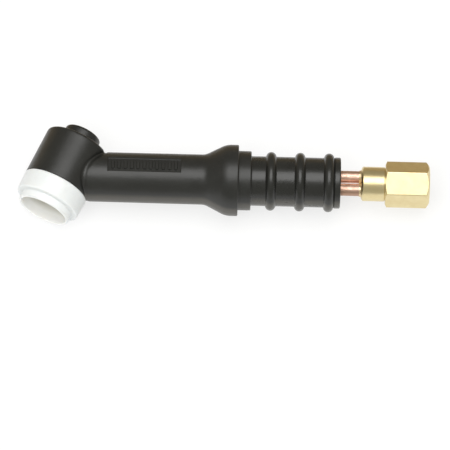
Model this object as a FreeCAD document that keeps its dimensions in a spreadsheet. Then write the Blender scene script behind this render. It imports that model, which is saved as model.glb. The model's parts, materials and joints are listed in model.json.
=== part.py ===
"""TIG torch body: a rubber-covered brass head on two copper conductors, with a rear connector.

The torch lies on its side.  +X runs along the neck from the head to the rear connector, the head
leans in the XY plane and +Z points up.  Lengths are millimetres.  The pieces are drawn about the
point where the head's axis crosses the neck's axis, and one shared placement then moves them so
that the origin is at the centre of the footprint, on the surface that the torch lies on.
"""
import FreeCAD, Part
import math
import os
import Sketcher

V = FreeCAD.Vector
PARTS_FOLDER = "parts"

# ------------------------------------------------------------------ driving dimensions
# Along the neck, x is measured from the crossing of the two axes; along the head, from the same
# point towards the cap, so that the nozzle end is negative.
DIMENSIONS = [
    ("head_angle", 66.0, "angle between the neck and the head's cap end, degrees"),
    ("head_radius", 11.75, "rubber head, outside"),
    ("head_nozzle_end", -4.5, "rubber face at the gasket"),
    ("head_cap_end", 13.5, "shoulder under the cap collar"),
    ("head_edge_round", 1.0, "rounding of the shoulder"),
    ("collar_radius", 6.6, "cap collar, outside"),
    ("collar_height", 4.3, "cap collar above the shoulder"),
    ("collar_edge_round", 1.0, "rounding of the collar's rim"),
    ("collar_foot_round", 0.6, "hollow rounding at the collar's foot"),
    ("neck_front_radius", 8.7, "neck beside the head"),
    ("neck_rear_radius", 8.8, "neck before the flare"),
    ("flare_start", 50.4, "where the flare's cone begins"),
    ("flare_full", 57.7, "where the flare's cone reaches its full radius"),
    ("flare_radius", 12.5, "flare at its widest"),
    ("flare_hollow_round", 5.4, "hollow curve into the flare"),
    ("flare_crest_round", 8.0, "outward curve at the top of the flare"),
    ("flare_back", 62.0, "flat rear face of the flare"),
    ("register_radius", 10.4, "step that centres a handle tube"),
    ("register_back", 66.5, "rear face of that step"),
    ("shank_radius", 8.7, "shank under the grip ribs"),
    ("shank_lip_start", 95.6, "slightly thicker end of the shank"),
    ("shank_lip_radius", 8.95, "end of the shank"),
    ("shank_back", 97.8, "rear face of the rubber"),
    ("step_edge_round", 0.35, "small rounding of moulded steps"),
    ("rib_first", 73.4, "centre of the first grip rib"),
    ("rib_pitch", 10.15, "spacing of the grip ribs"),
    ("rib_count", 3, "number of grip ribs"),
    ("rib_circle", 8.5, "radius to the centre of a rib's section"),
    ("rib_round", 1.8, "radius of a rib's section"),
    ("panel_front", 16.3, "recessed panel, end beside the head"),
    ("panel_back", 41.9, "recessed panel, rear end"),
    ("panel_width", 5.6, "recessed panel, across"),
    ("panel_turn", 12.6, "panel's turn from the top towards the cap side, degrees"),
    ("panel_floor", 7.85, "panel's floor from the neck's axis"),
    ("bar_first", 18.1, "centre of the first raised bar in the panel"),
    ("bar_pitch", 2.2, "spacing of the raised bars"),
    ("bar_count", 11, "number of raised bars"),
    ("bar_width", 1.1, "raised bar, along the neck"),
    ("bar_length", 3.4, "raised bar, across"),
    ("bar_height", 0.35, "raised bar above the panel's floor"),
    ("bar_root", 0.2, "raised bar below the panel's floor"),
    ("core_radius", 7.75, "brass core inside the rubber head"),
    ("core_spigot_radius", 6.5, "core's nozzle end, which the gasket fits round"),
    ("core_nozzle_end", -6.9, "nozzle end face of the core"),
    ("core_shoulder", 11.4, "step under the core's cap end"),
    ("core_cap_radius", 5.5, "core's cap end, inside the collar"),
    ("core_cap_end", 17.5, "cap end face of the core"),
    ("core_thread_radius", 4.5, "both threads of the core, M10 drawn as a plain bore"),
    ("collet_thread_length", 8.0, "thread for the collet body"),
    ("cap_thread_length", 7.0, "thread for the back cap"),
    ("core_bore_radius", 3.7, "through bore between the threads"),
    ("core_chamfer", 0.5, "chamfers of the core's mouths"),
    ("core_port_depth", 4.4, "gas port from the tube's seat into the through bore"),
    ("conductor_radius", 2.2, "gas tube and current rod, outside"),
    ("conductor_offset", 2.4, "each conductor's axis from the neck's axis"),
    ("gas_radius", 1.5, "bore of the gas tube and its ports"),
    ("gas_tube_front", 7.4, "gas tube's seat in the core"),
    ("current_rod_front", 5.6, "current rod's seat in the core"),
    ("conductor_back", 110.2, "seat of both conductors in the rear connector"),
    ("connector_front", 105.2, "front face of the rear connector"),
    ("connector_radius", 6.05, "round part of the rear connector"),
    ("connector_chamfer", 0.9, "chamfer of the connector's front edge"),
    ("relief_front", 113.2, "thin relief groove before the hexagon"),
    ("relief_radius", 5.7, "bottom of the relief groove"),
    ("hex_front", 113.6, "front of the hexagon"),
    ("hex_back", 129.0, "rear face of the hexagon"),
    ("hex_flats", 14.0, "hexagon across its flats"),
    ("hex_turn", 19.0, "hexagon's turn from a flat on top, degrees"),
    ("hex_front_bevel", 1.0, "hexagon corner removed at the front, radially"),
    ("hex_front_bevel_length", 0.6, "same bevel along the axis"),
    ("hex_back_bevel", 1.6, "hexagon corner removed at the rear, radially"),
    ("hex_back_bevel_length", 1.3, "same bevel along the axis"),
    ("hose_thread_radius", 4.25, "rear thread, 3/8-24 drawn as a plain bore"),
    ("hose_thread_bottom", 118.2, "end of the rear thread"),
    ("hose_drill_point", 1.3, "depth of the drill point beyond the thread"),
    ("hose_mouth_chamfer", 0.6, "chamfer of the rear thread's mouth"),
    ("braze_base_radius", 2.85, "braze fillet against the connector"),
    ("braze_tip_radius", 2.3, "braze fillet at its thin end"),
    ("rear_braze_length", 0.9, "rear braze fillet along the conductors"),
    ("head_braze_front", 6.4, "start of the braze cones inside the core"),
    ("head_braze_back", 12.2, "thin end of the head's braze fillet"),
    ("head_braze_radius", 3.7, "wide end of the head's braze cones"),
    ("gasket_gap", 0.05, "joint between the rubber face and the gasket"),
    ("gasket_radius", 11.85, "gasket flange, outside"),
    ("gasket_flange", 7.1, "height of the flange"),
    ("gasket_height", 9.95, "whole height of the gasket"),
    ("gasket_nose_radius", 9.6, "gasket nose, outside"),
    ("gasket_mouth_radius", 8.5, "mouth that the nozzle cup seats in"),
    ("gasket_mouth_depth", 6.45, "depth of that mouth"),
    ("gasket_hole_radius", 5.25, "hole in the gasket's floor"),
    ("gasket_seat_radius", 6.55, "bore round the core's spigot"),
    ("gasket_seat_depth", 2.5, "depth of that bore"),
    ("gasket_edge_round", 0.7, "rounding of the flange's front edge"),
    ("gasket_lip_round", 0.35, "rounding of the gasket's small edges"),
    ("overshoot", 1.0, "how far a cutting or joining shape runs past the face it works on"),
    ("shift_x", 0.0, "shared placement, worked out from the finished pieces"),
    ("shift_y", 0.0, "shared placement"),
    ("shift_z", 0.0, "shared placement"),
]

doc = FreeCAD.newDocument("tig_torch")
sheet = doc.addObject("Spreadsheet::Sheet", "dims")
for row, (alias, value, note) in enumerate(DIMENSIONS, start=1):
    sheet.set(f"A{row}", note)
    sheet.set(f"B{row}", str(value))
    sheet.setAlias(f"B{row}", alias)
doc.recompute()


def dim(name):
    """The present value of one driving dimension, as a number."""
    return float(sheet.get(name))


# ------------------------------------------------------------------ helpers
def new_body(name):
    """A PartDesign body whose label is its name."""
    body = doc.addObject("PartDesign::Body", name)
    body.Label = name
    return body


def origin_feature(body, role):
    """One of the body's own origin planes or axes, found by its role."""
    return [feature for feature in body.Origin.OriginFeatures if feature.Role == role][0]


def neck_sketch(body, name):
    """A sketch in the XY plane: its horizontal axis is the neck's axis."""
    sketch = body.newObject("Sketcher::SketchObject", name)
    sketch.AttachmentSupport = (origin_feature(body, "XY_Plane"), [""])
    sketch.MapMode = "FlatFace"
    return sketch


def head_sketch(body, name):
    """A sketch in the XY plane, turned so that its vertical axis is the head's axis."""
    sketch = neck_sketch(body, name)
    sketch.AttachmentOffset = FreeCAD.Placement(V(0, 0, 0), FreeCAD.Rotation(V(0, 0, 1), 0))
    sketch.setExpression("AttachmentOffset.Rotation.Angle", "dims.head_angle - 90")
    return sketch


def cross_sketch(body, name, station, turn="0"):
    """A sketch square to the neck at a station along it, turned about the neck's axis."""
    sketch = body.newObject("Sketcher::SketchObject", name)
    sketch.AttachmentSupport = (origin_feature(body, "YZ_Plane"), [""])
    sketch.MapMode = "FlatFace"
    sketch.AttachmentOffset = FreeCAD.Placement(V(0, 0, 0), FreeCAD.Rotation(V(0, 0, 1), 0))
    sketch.setExpression("AttachmentOffset.Base.z", station)
    sketch.setExpression("AttachmentOffset.Rotation.Angle", turn)
    return sketch


def panel_sketch(body, name, height):
    """A sketch facing the recessed panel, at a height above the neck's axis."""
    sketch = neck_sketch(body, name)
    sketch.AttachmentOffset = FreeCAD.Placement(V(0, 0, 0), FreeCAD.Rotation(V(1, 0, 0), -1))
    sketch.setExpression("AttachmentOffset.Rotation.Angle", "-dims.panel_turn")
    sketch.setExpression("AttachmentOffset.Base.y", f"({height}) * sin(dims.panel_turn)")
    sketch.setExpression("AttachmentOffset.Base.z", f"({height}) * cos(dims.panel_turn)")
    return sketch


def bind(sketch, kind, geometry, vertex, expression):
    """Tie a vertex's distance from the sketch's origin to an expression."""
    value = float(sketch.evalExpression(expression))
    index = sketch.addConstraint(Sketcher.Constraint(kind, -1, 1, geometry, vertex, value))
    sketch.setExpression(f"Constraints[{index}]", expression)


def arc_between(start, end, radius):
    """The short arc from start to end whose centre lies left of the way for a positive radius."""
    chord = end - start
    square = V(-chord.y, chord.x, 0).normalize()
    rise = math.sqrt(radius ** 2 - (chord.Length / 2) ** 2)
    centre = start + chord * 0.5 + square * math.copysign(rise, radius)
    circle = Part.Circle(centre, V(0, 0, 1), abs(radius))
    ends = [circle.parameter(start), circle.parameter(end)]
    if radius < 0:
        ends.reverse()
    return Part.ArcOfCircle(circle, ends[0], ends[1])


def outline(sketch, corners):
    """Close a loop through corners given as pairs of expressions.

    A side is straight, unless its first corner has a third expression: the radius of an arc,
    positive when the arc's centre lies left of the way round the loop.
    """
    values = [[float(sketch.evalExpression(text)) for text in corner] for corner in corners]
    first = sketch.GeometryCount
    count = len(corners)
    starts = []
    for here, there in zip(values, values[1:] + values[:1]):
        start = V(here[0], here[1], 0)
        end = V(there[0], there[1], 0)
        if len(here) == 2:
            sketch.addGeometry(Part.LineSegment(start, end), False)
            starts.append((1, 2))
        else:
            sketch.addGeometry(arc_between(start, end, here[2]), False)
            starts.append((1, 2) if here[2] > 0 else (2, 1))
    for side, corner in enumerate(corners):
        following = (side + 1) % count
        ends = (first + side, starts[side][1], first + following, starts[following][0])
        sketch.addConstraint(Sketcher.Constraint("Coincident", *ends))
        bind(sketch, "DistanceX", first + side, starts[side][0], corner[0])
        bind(sketch, "DistanceY", first + side, starts[side][0], corner[1])
        if len(corner) == 3:
            radius = Sketcher.Constraint("Radius", first + side, abs(values[side][2]))
            index = sketch.addConstraint(radius)
            sketch.setExpression(f"Constraints[{index}]", f"abs({corner[2]})")


def ring(sketch, radius, across="0", along="0"):
    """A circle whose centre and radius are expressions."""
    centre = V(float(sketch.evalExpression(across)), float(sketch.evalExpression(along)), 0)
    value = float(sketch.evalExpression(radius))
    circle = sketch.addGeometry(Part.Circle(centre, V(0, 0, 1), value), False)
    index = sketch.addConstraint(Sketcher.Constraint("Radius", circle, value))
    sketch.setExpression(f"Constraints[{index}]", radius)
    bind(sketch, "DistanceX", circle, 3, across)
    bind(sketch, "DistanceY", circle, 3, along)


def revolve(body, name, sketch, axis, kind="Revolution"):
    """Turn a sketch fully round one of its own axes."""
    feature = body.newObject(f"PartDesign::{kind}", name)
    feature.Profile = sketch
    feature.ReferenceAxis = (sketch, [axis])
    feature.Angle = 360
    doc.recompute()
    return feature


def extrude(body, name, sketch, length, kind="Pad", reverse=False):
    """Pad or pocket a sketch by an expression."""
    feature = body.newObject(f"PartDesign::{kind}", name)
    feature.Profile = sketch
    feature.setExpression("Length", length)
    feature.Reversed = reverse
    doc.recompute()
    return feature


def circle_edges(shape, station, axis, radius):
    """Names of the circular edges at a station along an axis, with a given radius."""
    found = []
    for number, edge in enumerate(shape.Edges, start=1):
        curve = edge.Curve
        if not isinstance(curve, Part.Circle):
            continue
        on_axis = curve.Center.cross(axis).Length < 0.01
        at_station = abs(curve.Center.dot(axis) - station) < 0.01
        if on_axis and at_station and abs(curve.Radius - radius) < 0.01:
            found.append(f"Edge{number}")
    return found


def round_edges(body, name, base, places, radius):
    """Fillet the circular edges listed as (station, axis, radius)."""
    names = []
    for station, axis, size in places:
        names += circle_edges(base.Shape, station, axis, size)
    if len(names) < len(places):
        raise RuntimeError(f"{name}: only {len(names)} of {len(places)} edges found")
    feature = body.newObject("PartDesign::Fillet", name)
    feature.Base = (base, names)
    feature.setExpression("Radius", radius)
    doc.recompute()
    return feature


def cylinder_along_neck(name, radius, front, back, offset):
    """A round bar along the neck, used to shape the rubber and the braze."""
    bar = doc.addObject("Part::Cylinder", name)
    bar.Placement = FreeCAD.Placement(V(0, 0, 0), FreeCAD.Rotation(V(0, 1, 0), 90))
    bar.setExpression("Radius", radius)
    bar.setExpression("Height", f"({back}) - ({front})")
    bar.setExpression("Placement.Base.x", front)
    bar.setExpression("Placement.Base.y", offset)
    return bar


def cone_along_neck(name, front, back, front_radius, back_radius, offset):
    """A cone along the neck, wide where it meets brass."""
    cone = doc.addObject("Part::Cone", name)
    cone.Placement = FreeCAD.Placement(V(0, 0, 0), FreeCAD.Rotation(V(0, 1, 0), 90))
    cone.setExpression("Radius1", front_radius)
    cone.setExpression("Radius2", back_radius)
    cone.setExpression("Height", f"({back}) - ({front})")
    cone.setExpression("Placement.Base.x", front)
    cone.setExpression("Placement.Base.y", offset)
    return cone


def cylinder_along_head(name, radius, low, high):
    """A round bar along the head's axis."""
    bar = doc.addObject("Part::Cylinder", name)
    turn = FreeCAD.Rotation(V(0, 0, 1), HEAD_AXIS)
    bar.Placement = FreeCAD.Placement(V(0, 0, 0), turn)
    bar.setExpression("Radius", radius)
    bar.setExpression("Height", f"({high}) - ({low})")
    bar.setExpression("Placement.Base.x", f"({low}) * cos(dims.head_angle)")
    bar.setExpression("Placement.Base.y", f"({low}) * sin(dims.head_angle)")
    return bar


def fuse(name, members):
    """Join several shapes into one."""
    result = doc.addObject("Part::MultiFuse", name)
    result.Shapes = members
    result.Label = name
    doc.recompute()
    return result


def cut(name, base, tool):
    """Take one shape away from another."""
    result = doc.addObject("Part::Cut", name)
    result.Base = base
    result.Tool = tool
    result.Label = name
    doc.recompute()
    return result


NECK_AXIS = V(1, 0, 0)
HEAD_AXIS = V(math.cos(math.radians(dim("head_angle"))), math.sin(math.radians(dim("head_angle"))), 0)
GAS_SIDE = "dims.conductor_offset"
ROD_SIDE = "-dims.conductor_offset"


# ------------------------------------------------------------------ brass core of the head
def make_head_core():
    """The turned brass core: a thread at each end, a through bore and two conductor sockets."""
    body = new_body("head_core")
    wall = head_sketch(body, "core_wall")
    chamfer = "dims.core_chamfer"
    collet_top = "dims.core_nozzle_end + dims.collet_thread_length"
    cap_bottom = "dims.core_cap_end - dims.cap_thread_length"
    step = "(dims.core_thread_radius - dims.core_bore_radius)"
    outline(wall, [
        (f"dims.core_thread_radius + {chamfer}", "dims.core_nozzle_end"),
        (f"dims.core_spigot_radius - {chamfer}", "dims.core_nozzle_end"),
        ("dims.core_spigot_radius", f"dims.core_nozzle_end + {chamfer}"),
        ("dims.core_spigot_radius", "dims.head_nozzle_end"),
        ("dims.core_radius", "dims.head_nozzle_end"),
        ("dims.core_radius", "dims.core_shoulder"),
        ("dims.core_cap_radius", "dims.core_shoulder"),
        ("dims.core_cap_radius", "dims.core_cap_end"),
        (f"dims.core_thread_radius + {chamfer}", "dims.core_cap_end"),
        ("dims.core_thread_radius", f"dims.core_cap_end - {chamfer}"),
        ("dims.core_thread_radius", cap_bottom),
        ("dims.core_bore_radius", f"{cap_bottom} - {step}"),
        ("dims.core_bore_radius", f"{collet_top} + {step}"),
        ("dims.core_thread_radius", collet_top),
        ("dims.core_thread_radius", f"dims.core_nozzle_end + {chamfer}"),
    ])
    revolve(body, "core_turned", wall, "V_Axis")
    for side, offset, seat in (("gas", GAS_SIDE, "dims.gas_tube_front"),
                               ("rod", ROD_SIDE, "dims.current_rod_front")):
        socket = cross_sketch(body, f"{side}_core_socket_ring", seat)
        ring(socket, "dims.conductor_radius", offset)
        extrude(body, f"{side}_core_socket", socket, "dims.core_radius", "Pocket", reverse=True)
    port = cross_sketch(body, "core_gas_port_ring", "dims.gas_tube_front")
    ring(port, "dims.gas_radius", GAS_SIDE)
    extrude(body, "core_gas_port", port, "dims.core_port_depth", "Pocket")
    return body


# ------------------------------------------------------------------ conductors
def make_gas_tube():
    """The copper tube that carries the shielding gas and part of the current."""
    body = new_body("gas_tube")
    section = cross_sketch(body, "gas_tube_section", "dims.gas_tube_front")
    ring(section, "dims.conductor_radius", GAS_SIDE)
    ring(section, "dims.gas_radius", GAS_SIDE)
    extrude(body, "gas_tube_run", section, "dims.conductor_back - dims.gas_tube_front")
    return body


def make_current_rod():
    """The solid copper rod beside the gas tube."""
    body = new_body("current_rod")
    section = cross_sketch(body, "current_rod_section", "dims.current_rod_front")
    ring(section, "dims.conductor_radius", ROD_SIDE)
    extrude(body, "current_rod_run", section, "dims.conductor_back - dims.current_rod_front")
    return body


# ------------------------------------------------------------------ rear connector
def make_rear_connector():
    """Brass connector: a round collar, a hexagon and the rear thread, with two brazing sockets."""
    body = new_body("rear_connector")
    turned = neck_sketch(body, "connector_collar_half")
    outline(turned, [
        ("dims.connector_front", "0"),
        ("dims.connector_front", "dims.connector_radius - dims.connector_chamfer"),
        ("dims.connector_front + dims.connector_chamfer", "dims.connector_radius"),
        ("dims.relief_front", "dims.connector_radius"),
        ("dims.relief_front", "dims.relief_radius"),
        ("dims.hex_front + dims.overshoot", "dims.relief_radius"),
        ("dims.hex_front + dims.overshoot", "0"),
    ])
    revolve(body, "connector_collar", turned, "H_Axis")

    hexagon = cross_sketch(body, "connector_hexagon", "dims.hex_front", "dims.hex_turn")
    corner = "dims.hex_flats / 2 / cos(30)"
    outline(hexagon, [(f"{corner} * cos({angle})", f"{corner} * sin({angle})")
                      for angle in range(0, 360, 60)])
    extrude(body, "connector_hex", hexagon, "dims.hex_back - dims.hex_front")

    bevel = neck_sketch(body, "connector_bevel_half")
    outside = f"{corner} + dims.overshoot"
    outline(bevel, [
        ("dims.hex_front", f"{corner} - dims.hex_front_bevel"),
        ("dims.hex_front", outside),
        ("dims.hex_front + dims.hex_front_bevel_length", outside),
        ("dims.hex_front + dims.hex_front_bevel_length", corner),
    ])
    revolve(body, "connector_front_bevel", bevel, "H_Axis", "Groove")
    rear_bevel = neck_sketch(body, "connector_rear_bevel_half")
    outline(rear_bevel, [
        ("dims.hex_back", f"{corner} - dims.hex_back_bevel"),
        ("dims.hex_back", outside),
        ("dims.hex_back - dims.hex_back_bevel_length", outside),
        ("dims.hex_back - dims.hex_back_bevel_length", corner),
    ])
    revolve(body, "connector_rear_bevel", rear_bevel, "H_Axis", "Groove")

    bore = neck_sketch(body, "connector_bore_half")
    outline(bore, [
        ("dims.hex_back", "0"),
        ("dims.hex_back", "dims.hose_thread_radius + dims.hose_mouth_chamfer"),
        ("dims.hex_back - dims.hose_mouth_chamfer", "dims.hose_thread_radius"),
        ("dims.hose_thread_bottom", "dims.hose_thread_radius"),
        ("dims.hose_thread_bottom - dims.hose_drill_point", "0"),
    ])
    revolve(body, "connector_bore", bore, "H_Axis", "Groove")

    socket_depth = "dims.conductor_back - dims.connector_front"
    for side, offset in (("gas", GAS_SIDE), ("rod", ROD_SIDE)):
        socket = cross_sketch(body, f"{side}_rear_socket_ring", "dims.conductor_back")
        ring(socket, "dims.conductor_radius", offset)
        extrude(body, f"{side}_rear_socket", socket, socket_depth, "Pocket")
    port = cross_sketch(body, "rear_gas_port_ring", "dims.conductor_back")
    ring(port, "dims.gas_radius", GAS_SIDE)
    passage = "dims.hose_thread_bottom - dims.conductor_back"
    extrude(body, "rear_gas_port", port, passage, "Pocket", reverse=True)
    return body


# ------------------------------------------------------------------ gasket
def make_cup_gasket():
    """White gasket that pushes onto the core's spigot and seats the nozzle cup."""
    body = new_body("cup_gasket")
    wall = head_sketch(body, "gasket_wall")
    back = "dims.head_nozzle_end - dims.gasket_gap"
    step = f"{back} - dims.gasket_flange"
    front = f"{back} - dims.gasket_height"
    floor = f"{front} + dims.gasket_mouth_depth"
    seat = f"{back} - dims.gasket_seat_depth"
    outline(wall, [
        ("dims.gasket_seat_radius", back),
        ("dims.gasket_radius", back),
        ("dims.gasket_radius", step),
        ("dims.gasket_nose_radius", step),
        ("dims.gasket_nose_radius", front),
        ("dims.gasket_mouth_radius", front),
        ("dims.gasket_mouth_radius", floor),
        ("dims.gasket_hole_radius", floor),
        ("dims.gasket_hole_radius", seat),
        ("dims.gasket_seat_radius", seat),
    ])
    turned = revolve(body, "gasket_turned", wall, "V_Axis")
    back_at = dim("head_nozzle_end") - dim("gasket_gap")
    step_at = back_at - dim("gasket_flange")
    front_at = back_at - dim("gasket_height")
    flange_edge = [(step_at, HEAD_AXIS, dim("gasket_radius"))]
    rounded = round_edges(body, "gasket_flange_round", turned, flange_edge, "dims.gasket_edge_round")
    lips = [
        (back_at, HEAD_AXIS, dim("gasket_radius")),
        (step_at, HEAD_AXIS, dim("gasket_nose_radius")),
        (front_at, HEAD_AXIS, dim("gasket_nose_radius")),
        (front_at, HEAD_AXIS, dim("gasket_mouth_radius")),
    ]
    round_edges(body, "gasket_lip_rounds", rounded, lips, "dims.gasket_lip_round")
    return body


# ------------------------------------------------------------------ rubber jacket
def make_jacket_outside():
    """The outside of the rubber moulding, still solid."""
    body = new_body("jacket_outside")
    half = neck_sketch(body, "jacket_handle_half")
    outline(half, [
        ("0", "0"),
        ("0", "dims.neck_front_radius"),
        ("dims.flare_start", "dims.neck_rear_radius"),
        ("dims.flare_full", "dims.flare_radius"),
        ("dims.flare_back", "dims.flare_radius"),
        ("dims.flare_back", "dims.register_radius"),
        ("dims.register_back", "dims.register_radius"),
        ("dims.register_back", "dims.shank_radius"),
        ("dims.shank_lip_start", "dims.shank_radius"),
        ("dims.shank_lip_start", "dims.shank_lip_radius"),
        ("dims.shank_back", "dims.shank_lip_radius"),
        ("dims.shank_back", "0"),
    ])
    turned = revolve(body, "jacket_handle", half, "H_Axis")
    hollow = [(dim("flare_start"), NECK_AXIS, dim("neck_rear_radius"))]
    turned = round_edges(body, "jacket_hollow_round", turned, hollow, "dims.flare_hollow_round")
    crest = [(dim("flare_full"), NECK_AXIS, dim("flare_radius"))]
    turned = round_edges(body, "jacket_crest_round", turned, crest, "dims.flare_crest_round")
    steps = [
        (dim("flare_back"), NECK_AXIS, dim("flare_radius")),
        (dim("register_back"), NECK_AXIS, dim("register_radius")),
        (dim("shank_back"), NECK_AXIS, dim("shank_lip_radius")),
    ]
    round_edges(body, "jacket_step_rounds", turned, steps, "dims.step_edge_round")

    rib = body.newObject("PartDesign::AdditiveTorus", "jacket_rib")
    rib.AttachmentSupport = (origin_feature(body, "YZ_Plane"), [""])
    rib.MapMode = "FlatFace"
    rib.setExpression("AttachmentOffset.Base.z", "dims.rib_first")
    rib.setExpression("Radius1", "dims.rib_circle")
    rib.setExpression("Radius2", "dims.rib_round")
    doc.recompute()
    ribs = body.newObject("PartDesign::LinearPattern", "jacket_ribs")
    ribs.Originals = [rib]
    ribs.Direction = (half, ["H_Axis"])
    ribs.setExpression("Length", "dims.rib_pitch * (dims.rib_count - 1)")
    ribs.setExpression("Occurrences", "dims.rib_count")
    body.Tip = ribs
    doc.recompute()

    below = head_sketch(body, "jacket_below_head_half")
    outline(below, [
        ("0", "dims.head_nozzle_end"),
        ("dims.head_radius + dims.overshoot", "dims.head_nozzle_end"),
        ("dims.head_radius + dims.overshoot", "dims.head_nozzle_end - dims.head_radius"),
        ("0", "dims.head_nozzle_end - dims.head_radius"),
    ])
    revolve(body, "jacket_neck_trim", below, "V_Axis", "Groove")

    head = head_sketch(body, "jacket_head_half")
    top = "dims.head_cap_end + dims.collar_height"
    outline(head, [
        ("0", "dims.head_nozzle_end"),
        ("dims.head_radius", "dims.head_nozzle_end"),
        ("dims.head_radius", "dims.head_cap_end - dims.head_edge_round", "dims.head_edge_round"),
        ("dims.head_radius - dims.head_edge_round", "dims.head_cap_end"),
        ("dims.collar_radius + dims.collar_foot_round", "dims.head_cap_end", "-dims.collar_foot_round"),
        ("dims.collar_radius", "dims.head_cap_end + dims.collar_foot_round"),
        ("dims.collar_radius", f"{top} - dims.collar_edge_round", "dims.collar_edge_round"),
        ("dims.collar_radius - dims.collar_edge_round", top),
        ("0", top),
    ])
    revolve(body, "jacket_head", head, "V_Axis")

    above = "dims.neck_rear_radius + dims.overshoot"
    recess = panel_sketch(body, "jacket_panel_outline", above)
    outline(recess, [
        ("dims.panel_front", "-dims.panel_width / 2"),
        ("dims.panel_back", "-dims.panel_width / 2"),
        ("dims.panel_back", "dims.panel_width / 2"),
        ("dims.panel_front", "dims.panel_width / 2"),
    ])
    extrude(body, "jacket_panel", recess, f"{above} - dims.panel_floor", "Pocket")

    mark = panel_sketch(body, "jacket_bar_outline", "dims.panel_floor - dims.bar_root")
    outline(mark, [
        ("dims.bar_first - dims.bar_width / 2", "-dims.bar_length / 2"),
        ("dims.bar_first + dims.bar_width / 2", "-dims.bar_length / 2"),
        ("dims.bar_first + dims.bar_width / 2", "dims.bar_length / 2"),
        ("dims.bar_first - dims.bar_width / 2", "dims.bar_length / 2"),
    ])
    bar = extrude(body, "jacket_bar", mark, "dims.bar_height + dims.bar_root")
    bars = body.newObject("PartDesign::LinearPattern", "jacket_bars")
    bars.Originals = [bar]
    bars.Direction = (half, ["H_Axis"])
    bars.setExpression("Length", "dims.bar_pitch * (dims.bar_count - 1)")
    bars.setExpression("Occurrences", "dims.bar_count")
    body.Tip = bars
    doc.recompute()
    return body


def conductor_spaces(name, front, back):
    """Two bars as thick as the conductors, between two stations; front is one per conductor."""
    bars = []
    for side, offset, start in (("gas", GAS_SIDE, front[0]), ("rod", ROD_SIDE, front[1])):
        bars.append(cylinder_along_neck(f"{side}_{name}", "dims.conductor_radius", start, back, offset))
    return bars


def braze_cones(name, front, back, front_radius, back_radius):
    """One cone of braze round each conductor, run together between them."""
    cones = []
    for side, offset in (("gas", GAS_SIDE), ("rod", ROD_SIDE)):
        cones.append(cone_along_neck(f"{side}_{name}", front, back, front_radius, back_radius, offset))
    return fuse(name, cones)


def make_jacket_and_head_braze():
    """The rubber jacket and the braze inside it, each cut to fit the metal that it surrounds."""
    shoulder = "dims.core_shoulder"
    below = "dims.head_nozzle_end - dims.overshoot"
    above = "dims.head_cap_end + dims.collar_height + dims.overshoot"
    core_space = cylinder_along_head("core_space", "dims.core_radius", below, shoulder)
    cap_space = cylinder_along_head("cap_space", "dims.core_cap_radius", shoulder, above)
    seats = ("dims.gas_tube_front", "dims.current_rod_front")
    conductors = conductor_spaces("space", seats, "dims.shank_back + dims.overshoot")
    cones = braze_cones("head_cones", "dims.head_braze_front", "dims.head_braze_back",
                        "dims.head_braze_radius", "dims.braze_tip_radius")
    head_braze = cut("head_braze", cones, fuse("head_metal", [core_space, *conductors]))
    envelope = fuse("jacket_inside", [core_space, cap_space, cones, *conductors])
    jacket = cut("rubber_jacket", make_jacket_outside(), envelope)
    return [jacket, head_braze]


def make_rear_braze():
    """The braze fillets where the conductors enter the rear connector."""
    thin_end = "dims.connector_front - dims.rear_braze_length"
    cones = braze_cones("rear_cones", thin_end, "dims.connector_front",
                        "dims.braze_tip_radius", "dims.braze_base_radius")
    before = f"{thin_end} - dims.overshoot"
    bars = conductor_spaces("bar", (before, before), "dims.connector_front + dims.overshoot")
    return cut("rear_braze", cones, fuse("rear_bars", bars))


# ------------------------------------------------------------------ assembly
pieces = [
    make_head_core(),
    make_gas_tube(),
    make_current_rod(),
    make_rear_connector(),
    make_cup_gasket(),
    *make_jacket_and_head_braze(),
    make_rear_braze(),
]

whole = FreeCAD.BoundBox()
for piece in pieces:
    whole.add(piece.Shape.optimalBoundingBox(False))
sheet.set(sheet.getCellFromAlias("shift_x"), str(round(-whole.Center.x, 4)))
sheet.set(sheet.getCellFromAlias("shift_y"), str(round(-whole.Center.y, 4)))
sheet.set(sheet.getCellFromAlias("shift_z"), str(round(-whole.ZMin, 4)))
for piece in pieces:
    piece.setExpression("Placement.Base.x", "dims.shift_x")
    piece.setExpression("Placement.Base.y", "dims.shift_y")
    piece.setExpression("Placement.Base.z", "dims.shift_z")
doc.recompute()

for item in doc.Objects:
    if "Invalid" in item.State or "Error" in item.State:
        raise RuntimeError(f"{item.Name} failed: {item.State}")
for piece in pieces:
    if piece.Shape.isNull() or not piece.Shape.isValid():
        raise RuntimeError(f"{piece.Label} has no valid shape")

os.makedirs(PARTS_FOLDER, exist_ok=True)
for piece in pieces:
    piece.Shape.exportStep(f"{PARTS_FOLDER}/{piece.Label}.step")
    box = piece.Shape.BoundBox
    solids = len(piece.Shape.Solids)
    print(f"{piece.Label:15s} {solids} solid(s), {piece.Shape.Volume:9.1f} mm3, "
          f"{box.XLength:6.2f} x {box.YLength:5.2f} x {box.ZLength:5.2f} mm")
print("shift", dim("shift_x"), dim("shift_y"), dim("shift_z"))
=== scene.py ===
# %% [markdown]
# # A TIG torch body
# The object is the bare body of a gas-cooled TIG welding torch, lying on its side on a pale table.
# A brass core sits inside a leaning rubber head, two copper conductors run from it through a rubber
# neck, and a brass connector with a hexagon ends them.  The same moulding makes the head, the neck,
# the bell-shaped flare and the ribbed shank that a handle tube slides over.  A white gasket is pushed
# onto the nozzle end.  The engineering model gives every size; this file gives the looks.

# %% Load the engineering model
import json
import math

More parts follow.
